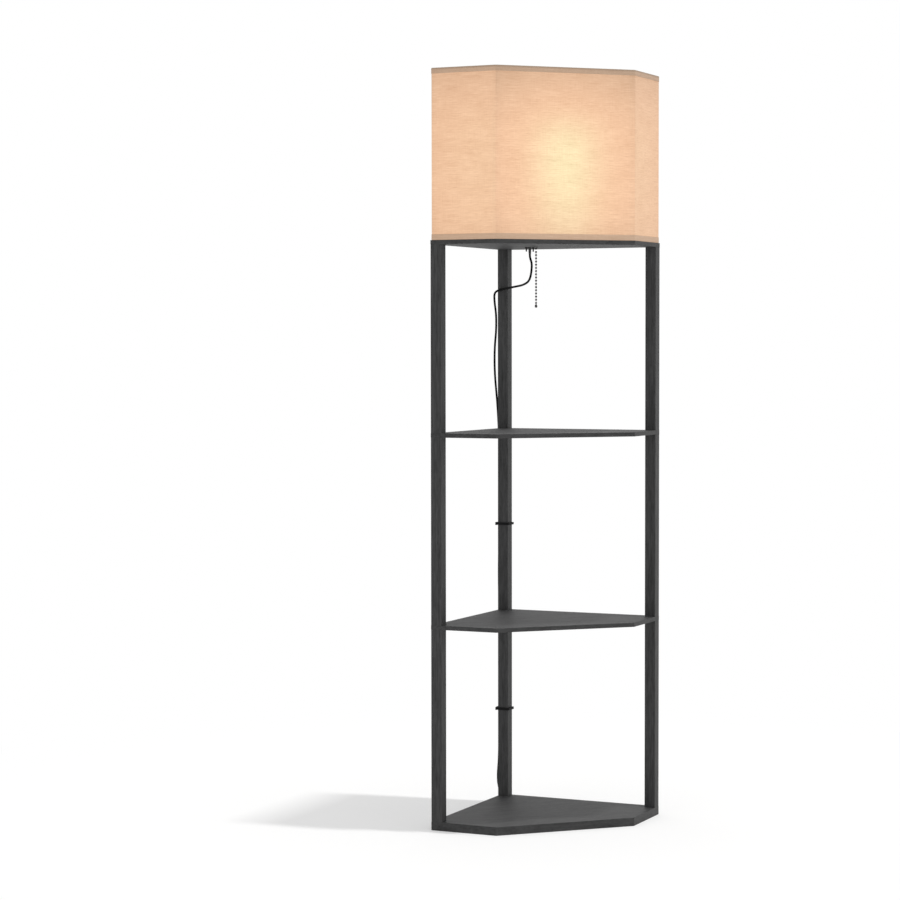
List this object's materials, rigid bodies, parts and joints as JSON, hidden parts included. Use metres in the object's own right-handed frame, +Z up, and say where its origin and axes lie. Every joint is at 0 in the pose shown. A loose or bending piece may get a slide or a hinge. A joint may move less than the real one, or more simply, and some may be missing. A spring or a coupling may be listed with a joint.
{
  "type": "floor lamp with shelves",
  "caption": "Corner floor lamp: a five-sided base, two open shelves and a lamp board on square posts under a five-sided fabric shade, with a pull-chain lampholder and lead.",
  "frame": {"origin": "on the floor, in the middle of the footprint of the base", "axes": "+Z up; -Y is the slanting front; the corner of the room, with the back post, is at +Y; +X is to the right when facing the front"},
  "size_m": [0.526, 0.3865, 1.6],
  "materials": {
    "charcoal_wood": "charcoal stained wood with a fine grain, low sheen",
    "zinc_steel": "zinc plated hardware",
    "black_steel": "black oxide, satin",
    "white_wire": "white powder coated wire",
    "linen": "cream linen with a horizontal slub",
    "shade_liner": "translucent styrene backing sheet",
    "hem_tape": "folded linen tape",
    "black_plastic": "moulded black phenolic",
    "brass": "plain brass",
    "chain_nickel": "nickel plated, dark",
    "insulation": "pale fibre and ceramic insulation",
    "bulb_glass": "frosted glass",
    "clear_glass": "clear glass",
    "cap_aluminium": "rolled aluminium",
    "filament": "tungsten wire",
    "cord_black": "black flexible sheath, satin"
  },
  "bodies": {
    "stand": {"base_board": "charcoal_wood", "lower_shelf": "charcoal_wood", "upper_shelf": "charcoal_wood", "lamp_board": "charcoal_wood", "left_post_lower": "charcoal_wood", "left_post_middle": "charcoal_wood", "left_post_upper": "charcoal_wood", "right_post_lower": "charcoal_wood", "right_post_middle": "charcoal_wood", "right_post_upper": "charcoal_wood", "back_post_lower": "charcoal_wood", "back_post_middle": "charcoal_wood", "back_post_upper": "charcoal_wood", "post_inserts": "zinc_steel", "shelf_studs": "zinc_steel", "shade_clip_screws": "zinc_steel", "base_bolts": "black_steel", "lamp_board_bolts": "black_steel", "holder_screws": "black_steel", "holder_washers": "black_steel", "holder_nuts": "black_steel", "bottom_wire_ring": "white_wire", "top_wire_ring": "white_wire", "shade_struts": "white_wire", "shade_clips": "white_wire", "shade_cloth": "linen", "shade_liner": "shade_liner", "bottom_hem_tape": "hem_tape", "top_hem_tape": "hem_tape", "holder_base": "black_plastic", "switch_housing": "black_plastic", "holder_shell": "black_plastic", "cord_relief": "black_plastic", "hank_tie": "black_plastic", "cord_straps": "black_plastic", "plug_body": "black_plastic", "chain_guide": "brass", "screw_shell": "brass", "centre_contact": "brass", "plug_blades": "brass", "insulating_sleeve": "insulation", "chain_eyelet": "chain_nickel", "power_cord": "cord_black", "cord_hank": "cord_black"},
    "bulb_lift": {"bulb_contact": "brass", "bulb_insulator": "insulation"},
    "bulb": {"bulb_glass": "bulb_glass", "bulb_cap": "cap_aluminium", "bulb_stem": "clear_glass", "bulb_filament": "filament"},
    "chain_in_guide": {"upper_chain": "chain_nickel"},
    "chain_swivel": {"chain_swivel_bead": "chain_nickel"},
    "chain_hanging": {"hanging_chain": "chain_nickel", "chain_bell": "chain_nickel"}
  },
  "joints": [
    {"name": "bulb_rise", "type": "slide", "parent": "stand", "child": "bulb_lift", "axis": [0, 0, 1], "range_m": [0, 0.018]},
    {"name": "bulb_turn", "type": "hinge", "parent": "bulb_lift", "child": "bulb", "pos_m": [0, 0.01909, 1.3], "axis": [0, 0, 1], "range_deg": [0, 1801]},
    {"name": "chain_pull", "type": "slide", "parent": "stand", "child": "chain_in_guide", "axis": [0, 0, -1], "range_m": [0, 0.008], "stiffness_N_per_m": 1200, "springref_m": -0.002},
    {"name": "chain_swing", "type": "hinge", "parent": "chain_in_guide", "child": "chain_swivel", "pos_m": [0.00507, -0.00437, 1.22935], "axis": [0.9774, 0.2113, 0], "range_deg": [-60, 8]},
    {"name": "chain_swing_side", "type": "hinge", "parent": "chain_swivel", "child": "chain_hanging", "pos_m": [0.00507, -0.00437, 1.22935], "axis": [-0.2113, 0.9774, 0], "range_deg": [-35, 35]}
  ],
  "couplings": [
    {"joint": "bulb_turn", "follows": "bulb_rise", "rad_per_m": 1745.3}
  ]
}
